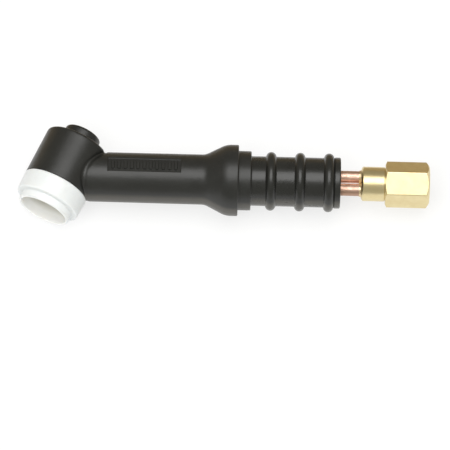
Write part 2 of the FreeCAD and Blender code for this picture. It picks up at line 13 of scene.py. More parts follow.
import bmesh
import bpy
import numpy as np
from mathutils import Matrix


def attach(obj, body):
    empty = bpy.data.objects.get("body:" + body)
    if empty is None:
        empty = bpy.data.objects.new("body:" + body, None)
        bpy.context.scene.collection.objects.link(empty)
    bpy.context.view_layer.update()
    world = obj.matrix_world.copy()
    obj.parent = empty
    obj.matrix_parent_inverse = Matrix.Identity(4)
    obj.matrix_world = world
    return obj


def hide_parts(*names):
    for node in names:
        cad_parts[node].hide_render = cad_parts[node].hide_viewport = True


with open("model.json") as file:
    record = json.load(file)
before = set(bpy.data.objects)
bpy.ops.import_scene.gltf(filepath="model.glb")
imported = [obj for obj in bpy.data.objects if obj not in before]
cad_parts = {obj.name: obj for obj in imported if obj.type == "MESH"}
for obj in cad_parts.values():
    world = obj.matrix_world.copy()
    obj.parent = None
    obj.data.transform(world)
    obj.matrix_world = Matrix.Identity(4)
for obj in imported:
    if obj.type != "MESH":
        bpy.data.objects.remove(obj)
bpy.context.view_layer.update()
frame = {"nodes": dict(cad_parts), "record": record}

import openvdb
from mathutils import Vector

BODY = "torch_body"
GASKET_BODY = "gasket"

# %% [markdown]
# ## Where the axes are
# Every piece of a torch body is turned or moulded about one of two axes: the neck's and the head's.
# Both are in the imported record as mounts, so the point where they cross is worked out from it, and
# all shapes below are written in millimetres from that point: x along the neck, y towards the cap
# side and z up.  One function then carries any array of such points into the model's own metres.

# %% The two axes and the way into the model's frame
MM = 0.001
MOUNTS = {mount["name"]: mount for mount in frame["record"]["mounts"]}
HOSE_POINT = np.array(MOUNTS["hose_socket"]["pos_m"])
CAP_POINT = np.array(MOUNTS["cap_thread"]["pos_m"])
HEAD_AXIS = np.array(MOUNTS["cap_thread"]["axis"], float)
HEAD_AXIS /= np.linalg.norm(HEAD_AXIS)
CROSSING = CAP_POINT - HEAD_AXIS * (CAP_POINT[1] - HOSE_POINT[1]) / HEAD_AXIS[1]
HEAD_SIDE = np.array([HEAD_AXIS[1], -HEAD_AXIS[0], 0.0])
HEAD_LEAN = math.atan2(HEAD_AXIS[1], HEAD_AXIS[0])
UP = np.array([0.0, 0.0, 1.0])


def to_model(points):
    """Millimetres from the crossing of the axes into the model's metres: scale, then shift."""
    return np.asarray(points) * MM + CROSSING


def along_head(rings):
    """Points given as (radius, angle, height) about the head's axis, in millimetres from the crossing.

    height * axis + radius * cos(angle) * side + radius * sin(angle) * up.
    """
    radius, angle, height = np.moveaxis(np.asarray(rings), -1, 0)
    across = (radius * np.cos(angle))[..., None] * HEAD_SIDE
    return height[..., None] * HEAD_AXIS + across + (radius * np.sin(angle))[..., None] * UP


def along_neck(rings):
    """The same about the neck's axis, which is x: (x, radius * cos(angle), radius * sin(angle))."""
    radius, angle, station = np.moveaxis(np.asarray(rings), -1, 0)
    return np.stack([station, radius * np.cos(angle), radius * np.sin(angle)], axis=-1)


print("axes cross at", np.round(CROSSING, 5), "head leans", round(math.degrees(HEAD_LEAN), 1))

# %% [markdown]
# ## Profiles with rounded corners
# A moulded or turned edge is never a knife edge, and the thin line of light that a rounded edge
# catches is what makes a small object look real.  So a profile is given by its few real corners, each
# with the radius of its rounding, and every corner is replaced by its own arc.

# %% Round the corners of a profile
def rounded_profile(corners, step=0.16):
    """Corners (a, b, rounding) become a line of points; each corner becomes an arc of that rounding.

    The arc touches both sides at rounding * tan(turn / 2) from the corner, and its points are spread
    evenly over the turn, about `step` apart.
    """
    corners = np.asarray(corners, float)
    points = [corners[0, :2]]
    for before, corner, after in zip(corners[:-2], corners[1:-1], corners[2:]):
        way_in = corner[:2] - before[:2]
        way_out = after[:2] - corner[:2]
        way_in = way_in / np.linalg.norm(way_in)
        way_out = way_out / np.linalg.norm(way_out)
        turn = math.atan2(way_in[0] * way_out[1] - way_in[1] * way_out[0], way_in @ way_out)
        rounding = corner[2]
        if rounding <= 0 or abs(turn) < 1e-4:
            points.append(corner[:2])
            continue
        start = corner[:2] - way_in * rounding * math.tan(abs(turn) / 2)
        inward = np.array([-way_in[1], way_in[0]]) * math.copysign(1.0, turn)
        centre = start + inward * rounding
        count = max(3, int(abs(turn) * rounding / step) + 2)
        angle = np.linspace(0, turn, count)[:, None]
        spoke = start - centre
        across = np.array([-spoke[1], spoke[0]])
        points.extend(centre + spoke * np.cos(angle) + across * np.sin(angle))
    points.append(corners[-1, :2])
    return np.array(points)


THREAD_SPACING = 0.11
ON_BORE = 0.03


def filled_in(profile, spacing, bore=None):
    """Long straight stretches of a profile get more points, so that no stretch is over `spacing`.

    A stretch that lies on `bore` at both ends is where a thread goes, and is filled at THREAD_SPACING.
    """
    lengths = np.linalg.norm(np.diff(profile, axis=0), axis=1)
    pieces = []
    for a, b, length in zip(profile[:-1], profile[1:], lengths):
        threaded = bore is not None and np.any((np.abs(a - bore) < ON_BORE) & (np.abs(b - bore) < ON_BORE))
        count = max(1, math.ceil(length / (THREAD_SPACING if threaded else spacing)))
        pieces.append(np.linspace(a, b, count, endpoint=False))
    return np.vstack(pieces + [profile[-1:]])


# %% [markdown]
# ## From arrays to a mesh
# A grid of points becomes quads by pairing each cell's four corners, all at once.  Where a profile
# ends on its axis the ring there has no size, so its points are merged into one pole and the shell
# is closed.  Nearly every piece here is turned: a section carried round an axis in even steps.

# %% Turn grids of points into closed meshes
WELD = 2e-6


def grid_quads(rows, columns, wrap_rows=False):
    """Index quads of a grid whose columns wrap round, and whose rows wrap too for a closed ring."""
    last = rows if wrap_rows else rows - 1
    row = np.arange(last)[:, None]
    column = np.arange(columns)[None, :]
    below = (row + 1) % rows
    beside = (column + 1) % columns
    corners = [row * columns + column, row * columns + beside,
               below * columns + beside, below * columns + column]
    return np.stack(np.broadcast_arrays(*corners), axis=-1).reshape(-1, 4)


def mesh_from_arrays(name, points, quads):
    """A mesh whose vertices and quads are written in one go from arrays in millimetres."""
    mesh = bpy.data.meshes.new(name)
    mesh.vertices.add(len(points))
    mesh.vertices.foreach_set("co", to_model(points).astype(np.float32).ravel())
    mesh.loops.add(quads.size)
    mesh.loops.foreach_set("vertex_index", quads.astype(np.int32).ravel())
    mesh.polygons.add(len(quads))
    mesh.polygons.foreach_set("loop_start", np.arange(0, quads.size, 4, dtype=np.int32))
    mesh.update(calc_edges=True)
    return mesh


def even_angles(columns):
    """Angles spread evenly over one turn."""
    return np.linspace(0, 2 * math.pi, columns, endpoint=False)


def carried_round(section, angles):
    """A section's two columns and the angles between them, each as an array of (point, angle)."""
    return np.broadcast_arrays(section[:, None, 0], angles[None, :], section[:, None, 1])


def turned_mesh(name, radius, angle, height, about, closed=False, aside=0.0):
    """The mesh of a turned surface about an axis, which may be moved sideways from the middle.

    `about` is along_head or along_neck, and `closed` says that the section is one closed loop.
    """
    grid = np.stack(np.broadcast_arrays(radius, angle, height), axis=-1)
    points = about(grid).reshape(-1, 3) + np.array([0.0, aside, 0.0])
    return mesh_from_arrays(name, points, grid_quads(*grid.shape[:2], wrap_rows=closed))


def close_up(mesh, sharp=40.0):
    """Merges the doubled points at poles and joins, turns the faces outwards and smooths the shading."""
    work = bmesh.new()
    work.from_mesh(mesh)
    bmesh.ops.remove_doubles(work, verts=work.verts, dist=WELD)
    bmesh.ops.dissolve_degenerate(work, edges=work.edges, dist=1e-7)
    bmesh.ops.recalc_face_normals(work, faces=work.faces)
    open_edges = sum(1 for edge in work.edges if not edge.is_manifold)
    volume = work.calc_volume(signed=True)
    if volume < 0:
        bmesh.ops.reverse_faces(work, faces=work.faces)
    work.to_mesh(mesh)
    work.free()
    mesh.shade_smooth()
    mesh.set_sharp_from_angle(angle=math.radians(sharp))
    triangles = int(sum(len(face.vertices) - 2 for face in mesh.polygons))
    print(f"{mesh.name}: {triangles} triangles, {open_edges} open edges, {abs(volume) * 1e9:.0f} mm3")
    return mesh


# %% [markdown]
# ## Pieces and cuts
# Every finished mesh goes into the scene in the same way: linked, given its finish, and hung on the
# body it rides on, and the nodes of the engineering model that it stands for are hidden.  Drilled
# holes are cut with a boolean.  The modifier could stay live on the piece, but when it is worked out
# on the spot, the result can be welded, measured and checked for open edges like any other mesh.

# %% Put a finished mesh into the scene
def add_piece(name, mesh, material, body, stands_for):
    """Links the piece, gives it its material, hangs it on the body it rides on and hides the nodes it stands
    for.
    """
    piece = bpy.data.objects.new(name, mesh)
    bpy.context.scene.collection.objects.link(piece)
    mesh.materials.clear()
    mesh.materials.append(material)
    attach(piece, body)
    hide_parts(*stands_for)


# %% Cut one closed mesh out of another
def cut_away(mesh, tool_mesh):
    """What is left of the mesh after another closed mesh is taken out of it, worked out exactly."""
    target = bpy.data.objects.new("boolean_target", mesh)
    tool = bpy.data.objects.new("boolean_tool", tool_mesh)
    for helper in (target, tool):
        bpy.context.scene.collection.objects.link(helper)
    modifier = target.modifiers.new("cut", "BOOLEAN")
    modifier.operation = "DIFFERENCE"
    modifier.solver = "EXACT"
    modifier.object = tool
    bpy.context.view_layer.update()
    evaluated = target.evaluated_get(bpy.context.evaluated_depsgraph_get())
    result = bpy.data.meshes.new_from_object(evaluated)
    result.name = mesh.name
    for helper in (target, tool):
        bpy.data.objects.remove(helper)
    return result


# %% [markdown]
# ## Materials: shared nodes
# All finishes are worked out from Object coordinates, which here are the model's metres, so a grain
# has its true size and stays on the piece when the piece moves.  Small helpers make noise at a stated
# size in millimetres, mix two colours by it, and link what comes out to the shader.

# %% Helpers for node materials
def new_material(name, metallic=0.0):
    """An empty node material with a Principled shader, and its parts."""
    material = bpy.data.materials.new(name)
    material.use_nodes = True
    tree = material.node_tree
    tree.nodes.clear()
    output = tree.nodes.new("ShaderNodeOutputMaterial")
    shader = tree.nodes.new("ShaderNodeBsdfPrincipled")
    tree.links.new(shader.outputs["BSDF"], output.inputs["Surface"])
    shader.inputs["Metallic"].default_value = metallic
    coordinates = tree.nodes.new("ShaderNodeTexCoord")
    return material, tree, shader, coordinates.outputs["Object"]


def stretched(tree, vector, scale, turn=(0, 0, 0)):
    """A Mapping node: the pattern's coordinates are turned, then scaled per axis."""
    mapping = tree.nodes.new("ShaderNodeMapping")
    mapping.inputs["Rotation"].default_value = turn
    mapping.inputs["Scale"].default_value = scale
    tree.links.new(vector, mapping.inputs["Vector"])
    return mapping.outputs["Vector"]


def noise(tree, vector, size_mm, detail=3.0, roughness=0.5):
    """Noise whose blotches are about size_mm across; a value from 0 to 1."""
    node = tree.nodes.new("ShaderNodeTexNoise")
    node.inputs["Scale"].default_value = 1.0 / (size_mm * MM)
    node.inputs["Detail"].default_value = detail
    node.inputs["Roughness"].default_value = roughness
    tree.links.new(vector, node.inputs["Vector"])
    return node.outputs["Fac"]


def remap(tree, value, low, high, to_low, to_high):
    """A value from low..high carried to to_low..to_high and clamped there."""
    node = tree.nodes.new("ShaderNodeMapRange")
    for socket, number in zip(("From Min", "From Max", "To Min", "To Max"), (low, high, to_low, to_high)):
        node.inputs[socket].default_value = number
    tree.links.new(value, node.inputs["Value"])
    return node.outputs["Result"]


def blend_colours(tree, factor, first, second):
    """First colour where factor is 0, second where it is 1."""
    node = tree.nodes.new("ShaderNodeMix")
    node.data_type = "RGBA"
    tree.links.new(factor, node.inputs["Factor"])
    for socket, colour in ((node.inputs[6], first), (node.inputs[7], second)):
        if isinstance(colour, tuple):
            socket.default_value = (*colour, 1.0)
        else:
            tree.links.new(colour, socket)
    return node.outputs[2]


def mottled(tree, pattern, low, high, first, second):
    """Two colours mixed by a pattern: the first where it is below low, the second where above high."""
    return blend_colours(tree, remap(tree, pattern, low, high, 0, 1), first, second)


def bump(tree, height, distance_mm, strength=1.0, below=None):
    """Turns a height from 0 to 1 into a tilt of the surface, distance_mm high."""
    node = tree.nodes.new("ShaderNodeBump")
    node.inputs["Strength"].default_value = strength
    node.inputs["Distance"].default_value = distance_mm * MM
    tree.links.new(height, node.inputs["Height"])
    if below is not None:
        tree.links.new(below, node.inputs["Normal"])
    return node.outputs["Normal"]


def calculate(tree, operation, first, second=None):
    """One Math node; numbers are set on the node and sockets are linked to it."""
    node = tree.nodes.new("ShaderNodeMath")
    node.operation = operation
    for socket, value in zip(node.inputs, (first, second)):
        if value is None:
            continue
        if isinstance(value, (int, float)):
            socket.default_value = value
        else:
            tree.links.new(value, socket)
    return node.outputs[0]


def split_axes(tree, vector):
    """The x, y and z of a vector, as three sockets."""
    node = tree.nodes.new("ShaderNodeSeparateXYZ")
    tree.links.new(vector, node.inputs[0])
    return node.outputs["X"], node.outputs["Y"], node.outputs["Z"]


def how_far(tree, value, middle):
    """The distance of a coordinate from a middle value, either way."""
    return calculate(tree, "ABSOLUTE", calculate(tree, "SUBTRACT", value, float(middle)))


def connect(tree, shader, colour, roughness, normal):
    """Links the finish that was worked out to the shader's three main sockets."""
    for socket, value in (("Base Color", colour), ("Roughness", roughness), ("Normal", normal)):
        tree.links.new(value, shader.inputs[socket])


# %% [markdown]
# ## The rubber finish
# The cover is black silicone rubber, moulded in two halves.  It is a warm, slightly olive black with
# a soft sheen, because the mould was shot-blasted: many tiny pits spread the highlight wide.  The
# mould halves met in the plane that holds both axes, so a faint raised line runs all round there.  A
# band along that plane is painted a greyer brown and broken up by noise: a painted reflection of the
# pale table, which the rubber's sides mirror there.  The step and the shank were moulded smoother, for
# a handle tube to slide over, so behind the flare the rubber is a little shinier.  A picture of rubber
# would need an unwrapped mesh and would blur close up, so all of this is noise and distances.

# %% Black moulded rubber
OLIVE_BLACK = (0.0085, 0.0089, 0.0080)
WORN_BLACK = (0.0130, 0.0135, 0.0120)
DUST_GREY = (0.07, 0.07, 0.062)
PAINTED_REFLECTION_BROWN = (0.058, 0.053, 0.042)
REFLECTION_BAND_INNER = 2.4
REFLECTION_BAND_OUTER = 3.9
PARTING_WIDTH = 0.22
SMOOTH_START = 66.0


def rubber_finish():
    """Olive-black rubber with a blasted grain, worn patches, a painted reflection band and the mould's
    parting line.
    """
    material, tree, shader, place = new_material("moulded_black_rubber")
    station, _, height = split_axes(tree, place)
    from_parting = how_far(tree, height, CROSSING[2])
    patches = noise(tree, place, 9.0, 4.0, 0.6)
    colour = mottled(tree, patches, 0.35, 0.7, OLIVE_BLACK, WORN_BLACK)
    dust = remap(tree, noise(tree, place, 0.5, 2.0), 0.62, 0.8, 0, 0.2)
    colour = blend_colours(tree, dust, colour, DUST_GREY)
    # Painted reflection: a greyer brown band along the parting plane, broken up by noise, stands in for the
    # pale table mirrored in the rubber's sides.
    reflection_band = remap(tree, from_parting, REFLECTION_BAND_INNER * MM, REFLECTION_BAND_OUTER * MM, 1.0, 0.0)
    painted_reflection = calculate(tree, "MULTIPLY", reflection_band, remap(tree, patches, 0.3, 0.6, 0.65, 1.0))
    colour = blend_colours(tree, painted_reflection, colour, PAINTED_REFLECTION_BROWN)
    start = float(to_model([SMOOTH_START, 0.0, 0.0])[0])
    smoother = remap(tree, station, start - 0.5 * MM, start + 0.5 * MM, 0.0, -0.10)
    roughness = calculate(tree, "ADD", remap(tree, patches, 0.3, 0.75, 0.35, 0.43), smoother)
    parting = remap(tree, from_parting, 0.0, PARTING_WIDTH * MM, 1.0, 0.0)
    grain = bump(tree, noise(tree, place, 0.28, 3.0, 0.65), 0.035, 0.55)
    wave = bump(tree, noise(tree, place, 3.5, 2.0), 0.10, 0.5, grain)
    connect(tree, shader, colour, roughness, bump(tree, parting, 0.08, 0.8, wave))
    shader.inputs["Specular IOR Level"].default_value = 0.60
    shader.inputs["Sheen Weight"].default_value = 0.03
    shader.inputs["Sheen Roughness"].default_value = 0.35
    shader.inputs["Sheen Tint"].default_value = (1.0, 0.93, 0.80, 1.0)
    return material


RUBBER = rubber_finish()

# %% [markdown]
# ## Brass, copper, braze and gasket finishes
# The brass parts are turned on a lathe, so their grain is rings: noise that stays fine along the
# piece's axis and is drawn out across it.  Copper is drawn, then heated for brazing, so it is pinker,
# duller and uneven, and the conductors' outer sides are painted a darker brown as painted shade.  The
# braze is a frozen puddle with no tool marks.  The gasket is white fluoroplastic: smooth, a little
# waxy, and it lets some light in.  Its mouth is painted whiter as painted light, and darker deep down
# as painted shade.

# %% Turned brass about the neck's axis or the head's
BRIGHT_BRASS = (0.80, 0.69, 0.41)
TARNISHED_BRASS = (0.73, 0.605, 0.33)


def brass_finish(name, lean=0.0):
    """Bright yellow brass with fine turning rings square to an axis that leans from x by an angle."""
    material, tree, shader, place = new_material(name, metallic=1.0)
    rings = noise(tree, stretched(tree, place, (1.0, 0.04, 0.04), (0, 0, -lean)), 0.22, 2.0)
    tarnish = noise(tree, place, 3.2, 4.0, 0.6)
    colour = mottled(tree, tarnish, 0.35, 0.75, BRIGHT_BRASS, TARNISHED_BRASS)
    fine = bump(tree, rings, 0.006, 0.5)
    handled = bump(tree, noise(tree, place, 2.5, 2.0), 0.02, 0.3, fine)
    connect(tree, shader, colour, remap(tree, tarnish, 0.3, 0.8, 0.28, 0.37), handled)
    return material


CONNECTOR_BRASS = brass_finish("turned_brass_connector")
CORE_BRASS = brass_finish("turned_brass_core", HEAD_LEAN)

# %% Drawn copper and braze
CLEAN_COPPER = (0.92, 0.66, 0.54)
DULL_COPPER = (0.70, 0.43, 0.32)
PAINTED_SHADE_BROWN = (0.47, 0.30, 0.22)
SIDE_SHADE_INNER = 2.4
SIDE_SHADE_OUTER = 4.2
CLEAN_BRAZE = (0.86, 0.70, 0.44)
FLUX_STAIN = (0.52, 0.38, 0.25)


def copper_finish():
    """Pink drawn copper with long draw marks, and painted shade: a darker brown on the pair's outer sides.
    """
    material, tree, shader, place = new_material("drawn_copper", metallic=1.0)
    marks = noise(tree, stretched(tree, place, (0.08, 1.0, 1.0)), 0.3, 2.0)
    heat = noise(tree, place, 1.8, 4.0, 0.65)
    colour = mottled(tree, heat, 0.4, 0.7, CLEAN_COPPER, DULL_COPPER)
    # Painted shade: the farther from the middle between the two conductors, the darker brown the copper is
    # painted, so their outer sides look shaded.
    outward = how_far(tree, split_axes(tree, place)[1], CROSSING[1])
    colour = mottled(tree, outward, SIDE_SHADE_INNER * MM, SIDE_SHADE_OUTER * MM, colour, PAINTED_SHADE_BROWN)
    dents = bump(tree, noise(tree, place, 2.2, 2.0), 0.05, 0.4)
    normal = bump(tree, marks, 0.004, 0.4, dents)
    connect(tree, shader, colour, remap(tree, heat, 0.3, 0.8, 0.40, 0.52), normal)
    return material


def braze_finish():
    """A rough yellowish puddle of braze with darker flux stains."""
    material, tree, shader, place = new_material("brazing_alloy", metallic=1.0)
    stains = noise(tree, place, 0.7, 4.0, 0.7)
    colour = mottled(tree, stains, 0.45, 0.7, CLEAN_BRAZE, FLUX_STAIN)
    normal = bump(tree, noise(tree, place, 0.45, 3.0), 0.06, 0.7)
    connect(tree, shader, colour, remap(tree, stains, 0.3, 0.8, 0.3, 0.55), normal)
    return material


COPPER = copper_finish()
BRAZE = braze_finish()

# %% White fluoroplastic
GASKET_CLEAN = (0.80, 0.825, 0.835)
GASKET_HANDLED = (0.745, 0.765, 0.77)
PAINTED_MOUTH_LIGHT = (0.955, 0.97, 0.97)
PAINTED_MOUTH_SHADE = (0.60, 0.59, 0.54)


def gasket_finish():
    """Waxy white plastic with faint turning marks, a trace of dirt, and painted light and shade in its
    mouth.
    """
    material, tree, shader, place = new_material("white_fluoroplastic")
    dirt = noise(tree, place, 2.4, 4.0, 0.6)
    colour = mottled(tree, dirt, 0.5, 0.85, GASKET_CLEAN, GASKET_HANDLED)
    turned = stretched(tree, place, (1.0, 1.0, 1.0), (0, 0, -HEAD_LEAN))
    along, across, height = split_axes(tree, turned)
    sideways = calculate(tree, "ADD", across, float(CROSSING @ HEAD_SIDE))
    upward = calculate(tree, "SUBTRACT", height, float(CROSSING[2]))
    squares = [calculate(tree, "POWER", value, 2.0) for value in (sideways, upward)]
    from_axis = calculate(tree, "SQRT", calculate(tree, "ADD", *squares))
    # Painted light: the mouth is painted whiter.  Painted shade: towards its floor it is painted darker,
    # where light hardly reaches.
    in_mouth = remap(tree, from_axis, 8.9 * MM, 9.2 * MM, 1.0, 0.0)
    start = float(CROSSING @ HEAD_AXIS)
    deep = remap(tree, along, start - 11.4 * MM, start - 8.6 * MM, 0.0, 1.0)
    deep_painted_shade = calculate(tree, "MULTIPLY", in_mouth, deep)
    colour = blend_colours(tree, in_mouth, colour, PAINTED_MOUTH_LIGHT)
    colour = blend_colours(tree, deep_painted_shade, colour, PAINTED_MOUTH_SHADE)
    rings = noise(tree, stretched(tree, place, (1.0, 0.05, 0.05), (0, 0, -HEAD_LEAN)), 0.25, 2.0)
    connect(tree, shader, colour, remap(tree, dirt, 0.3, 0.8, 0.30, 0.42), bump(tree, rings, 0.008, 0.5))
    shader.inputs["Subsurface Weight"].default_value = 0.6
    shader.inputs["Subsurface Radius"].default_value = (1.0, 0.95, 0.9)
    shader.inputs["Subsurface Scale"].default_value = 1.2 * MM
    return material


GASKET_WHITE = gasket_finish()

# %% [markdown]
# ## The jacket's head as a distance field
# The head is a fat cylinder with a low collar, the neck is a thinner one that runs into its side at
# an angle, and both sink a little into the crease where they meet.  Written as surfaces they would
# have to be cut along an awkward curve.  Written as a distance field the join is one smooth minimum:
# each shape is a formula for how far a point is from its skin, and the field is meshed where it is
# zero.

# %% Sizes of the moulded head, in millimetres
HEAD_RADIUS = 11.75
NOZZLE_END = -4.5
CAP_END = 13.5
COLLAR_RADIUS = 6.6
COLLAR_TOP = 17.785
CORE_RADIUS = 7.75
CORE_SHOULDER = 11.4
CORE_CAP_RADIUS = 5.5
NECK_FRONT = 8.7
NECK_REAR = 8.8
FLARE_START = 50.4
COLLAR_FILLET = 0.6
CREASE_DEPTH = 0.30
CREASE_WIDTH = 0.65
CUT_STATION = 15.85


def neck_skin(station):
    """The neck's radius, which grows evenly from its front to the flare."""
    return NECK_FRONT + (NECK_REAR - NECK_FRONT) * station / FLARE_START


# %% The distance field of the head
def smooth_union(a, b, softness):
    """The lesser of two distances, rounded where they are close: min - overlap^2 / (4 softness)."""
    overlap = np.maximum(softness - np.abs(a - b), 0.0)
    return np.minimum(a, b) - overlap ** 2 / (4 * softness)


def smooth_cut(a, tool, softness):
    """What is left of a after taking tool away, with a rounding along the cut."""
    return -smooth_union(-a, tool, softness)


def rounded_drum(radius, height, size, low, high, rounding):
    """Distance to a drum about an axis: a rectangle in (radius, height) with rounded corners."""
    across = radius - (size - rounding)
    along = np.abs(height - (low + high) / 2) - ((high - low) / 2 - rounding)
    outside = np.hypot(np.maximum(across, 0), np.maximum(along, 0))
    return outside + np.minimum(np.maximum(across, along), 0) - rounding


def moulding_field(x, y, z):
    """Distance to the head and the start of the neck, from points in millimetres: negative inside."""
    height = x * HEAD_AXIS[0] + y * HEAD_AXIS[1]
    sideways = x * HEAD_SIDE[0] + y * HEAD_SIDE[1]
    head_radius = np.hypot(sideways, z)
    head = rounded_drum(head_radius, height, HEAD_RADIUS, NOZZLE_END - 6, CAP_END, 1.0)
    collar = rounded_drum(head_radius, height, COLLAR_RADIUS, 4.0, COLLAR_TOP, 1.0)
    head = smooth_union(head, collar, COLLAR_FILLET)
    neck = np.maximum(np.hypot(y, z) - neck_skin(x), -x)
    crease = CREASE_DEPTH * np.exp(-(head ** 2 + neck ** 2) / CREASE_WIDTH ** 2)
    field = smooth_union(head, neck, 0.25) + crease
    field = smooth_cut(field, height - NOZZLE_END, 0.25)
    hole = np.minimum(rounded_drum(head_radius, height, CORE_RADIUS, -30, CORE_SHOULDER, 0.05),
                      head_radius - CORE_CAP_RADIUS)
    return smooth_cut(field, hole, 0.2)


# %% [markdown]
# ## Meshing the field
# The field is sampled on a regular grid, a marching pass finds the quads where it changes sign, and
# each vertex is then walked down the field's own slope until it lies on the true skin.  That last
# step is what takes the stair-stepping of the grid away, so cylinders come out truly round.

# %% Sample, mesh and settle the head
GRID = 0.285
FIELD_LOW = np.array([-13.5, -13.0, -12.4])
FIELD_HIGH = np.array([CUT_STATION + 1.0, 20.0, 12.4])


def field_slope(points, reach=0.02):
    """The field's gradient at each point, from differences along the three directions."""
    slopes = []
    for direction in np.eye(3) * reach:
        ahead = moulding_field(*(points + direction).T)
        behind = moulding_field(*(points - direction).T)
        slopes.append((ahead - behind) / (2 * reach))
    return np.stack(slopes, axis=-1)


def settle(points, rounds=5):
    """Newton's steps towards zero: point - field * slope / |slope|^2, each at most a third of a cell."""
    for _ in range(rounds):
        slope = field_slope(points)
        square = np.maximum((slope ** 2).sum(axis=1), 0.05)
        step = moulding_field(*points.T) / square
        points = points - np.clip(step, -GRID / 3, GRID / 3)[:, None] * slope
    return points


def mesh_head():
    """Quads of the head and the start of the neck to just past the slice, settled onto the true skin."""
    counts = np.ceil((FIELD_HIGH - FIELD_LOW) / GRID).astype(int) + 1
    axes = [low + GRID * np.arange(count) for low, count in zip(FIELD_LOW, counts)]
    x, y, z = np.meshgrid(*axes, indexing="ij", sparse=True)
    field = np.clip(moulding_field(x, y, z), -3 * GRID, 3 * GRID).astype(np.float32)
    grid = openvdb.FloatGrid()
    grid.background = 3 * GRID
    grid.copyFromArray(np.ascontiguousarray(field))
    points, quads = grid.convertToQuads(isovalue=0.0)
    return settle(points * GRID + FIELD_LOW), quads[:, ::-1]


head_points, head_quads = mesh_head()
print("head of the jacket:", len(head_points), "points,", len(head_quads), "quads")


# %% Slice the head off square
def slice_head(points, quads):
    """Cuts the head's mesh square at the station, clears what is behind it and merges doubles."""
    mesh = mesh_from_arrays("rubber_jacket_look", points, quads)
    work = bmesh.new()
    work.from_mesh(mesh)
    station = to_model([CUT_STATION, 0.0, 0.0])
    everything = work.verts[:] + work.edges[:] + work.faces[:]
    bmesh.ops.bisect_plane(work, geom=everything, dist=1e-8, plane_co=station, plane_no=(1, 0, 0),
                           clear_outer=True)
    bmesh.ops.remove_doubles(work, verts=work.verts, dist=WELD)
    work.to_mesh(mesh)
    work.free()
    return mesh


jacket_mesh = slice_head(head_points, head_quads)

# %% [markdown]
# ## The rest of the jacket: a turned surface with a panel in it
# Behind the head everything is round: the neck, the flare, the step that centres a handle tube, and
# the shank with its three ribs.  That is a profile carried round the axis.  The sunken panel is a
# change of radius over part of the neck, and its walls stay crisp because the grid has extra lines
# exactly where they are.  The marks in the panel are a row of plain bars.

# %% The panel as a change of radius
PANEL_MIDDLE = 29.1
PANEL_LENGTH = 25.6
PANEL_WIDTH = 5.6
PANEL_FLOOR = 7.85
PANEL_ANGLE = math.radians(90 - 12.6)
PANEL_ARC = 8.3
BAR_FIRST = 18.1
BAR_PITCH = 2.2
BAR_COUNT = 11
BAR_WIDTH = 1.1
BAR_LENGTH = 3.4
BAR_HEIGHT = 0.35
WALL = 0.08
WALL_STEPS = (-1.0, -0.35, 0.35, 1.0)
BORDER_STEPS = (-2.4, *WALL_STEPS, 2.4)
REST_COLUMNS = 112


def inside_edge(past):
    """1 well inside an edge, 0 well outside, and a sine ramp over the wall's width between."""
    return 0.5 - 0.5 * np.sin(np.clip(past / WALL, -1, 1) * math.pi / 2)


def panel_radius(station, turn, skin):
    """The neck's radius with the panel in it.

    The panel's floor is flat, so its radius is floor / cos(turn from the panel's middle).  One mask
    mixes the skin with the floor across the walls, another adds the height of the bars.
    """
    arc = np.abs(turn) * PANEL_ARC
    floor = PANEL_FLOOR / np.cos(np.clip(turn, -0.5, 0.5))
    from_middle = np.abs(station - PANEL_MIDDLE)
    panel = inside_edge(from_middle - PANEL_LENGTH / 2) * inside_edge(arc - PANEL_WIDTH / 2)
    number = np.clip(np.round((station - BAR_FIRST) / BAR_PITCH), 0, BAR_COUNT - 1)
    from_bar = np.abs(station - BAR_FIRST - number * BAR_PITCH)
    bar = inside_edge(from_bar - BAR_WIDTH / 2) * inside_edge(arc - BAR_LENGTH / 2)
    return skin + (floor + BAR_HEIGHT * bar - skin) * panel


# %% Lines of the grid, closer together at the panel's walls
def wall_lines(edges, steps=WALL_STEPS):
    """A few grid lines across each wall; the steps are widths of the wall from its middle."""
    return (np.asarray(edges, float)[:, None] + WALL * np.asarray(steps)).ravel()


def panel_turns():
    """Angles from the panel's middle: fine across its walls and bar ends, even round the rest."""
    arcs = np.concatenate([wall_lines([-PANEL_WIDTH / 2, PANEL_WIDTH / 2], BORDER_STEPS),
                           wall_lines([-BAR_LENGTH / 2, BAR_LENGTH / 2]),
                           np.linspace(-1.25, 1.25, 6), [-3.4, -2.25, 2.25, 3.4]])
    rest = np.linspace(4.0 / PANEL_ARC, 2 * math.pi - 4.0 / PANEL_ARC, REST_COLUMNS)
    turns = np.concatenate([arcs / PANEL_ARC, np.where(rest > math.pi, rest - 2 * math.pi, rest)])
    return np.sort(turns)


def neck_stations():
    """Stations along the neck: fine across the panel's ends and the sides of every bar."""
    centres = BAR_FIRST + BAR_PITCH * np.arange(BAR_COUNT)
    sides = np.concatenate([centres - BAR_WIDTH / 2, centres + BAR_WIDTH / 2])
    ends = [PANEL_MIDDLE - PANEL_LENGTH / 2, PANEL_MIDDLE + PANEL_LENGTH / 2]
    plain = np.concatenate([centres, centres[:-1] + BAR_PITCH / 2, [16.9, 41.2, 42.6, 43.6, 44.8, 46.0]])
    walls = [wall_lines(ends, BORDER_STEPS), wall_lines(sides)]
    return np.sort(np.concatenate([[CUT_STATION + 0.12], *walls, plain]))


# %% The turned profile behind the neck
NECK_END = 46.5
FLARE_WIDEST = 57.7
FLARE_RADIUS = 12.495
FLARE_END = 62.0
STEP_RADIUS = 10.4
STEP_END = 66.5
RIM_START = 95.75
RIM_RADIUS = 8.95
RIB_CENTRES = (73.4, 83.55, 93.7)
RIB_ROUND = 1.8
RIB_CIRCLE = 8.5
SHANK_RADIUS = 8.7
SHANK_END = 97.8


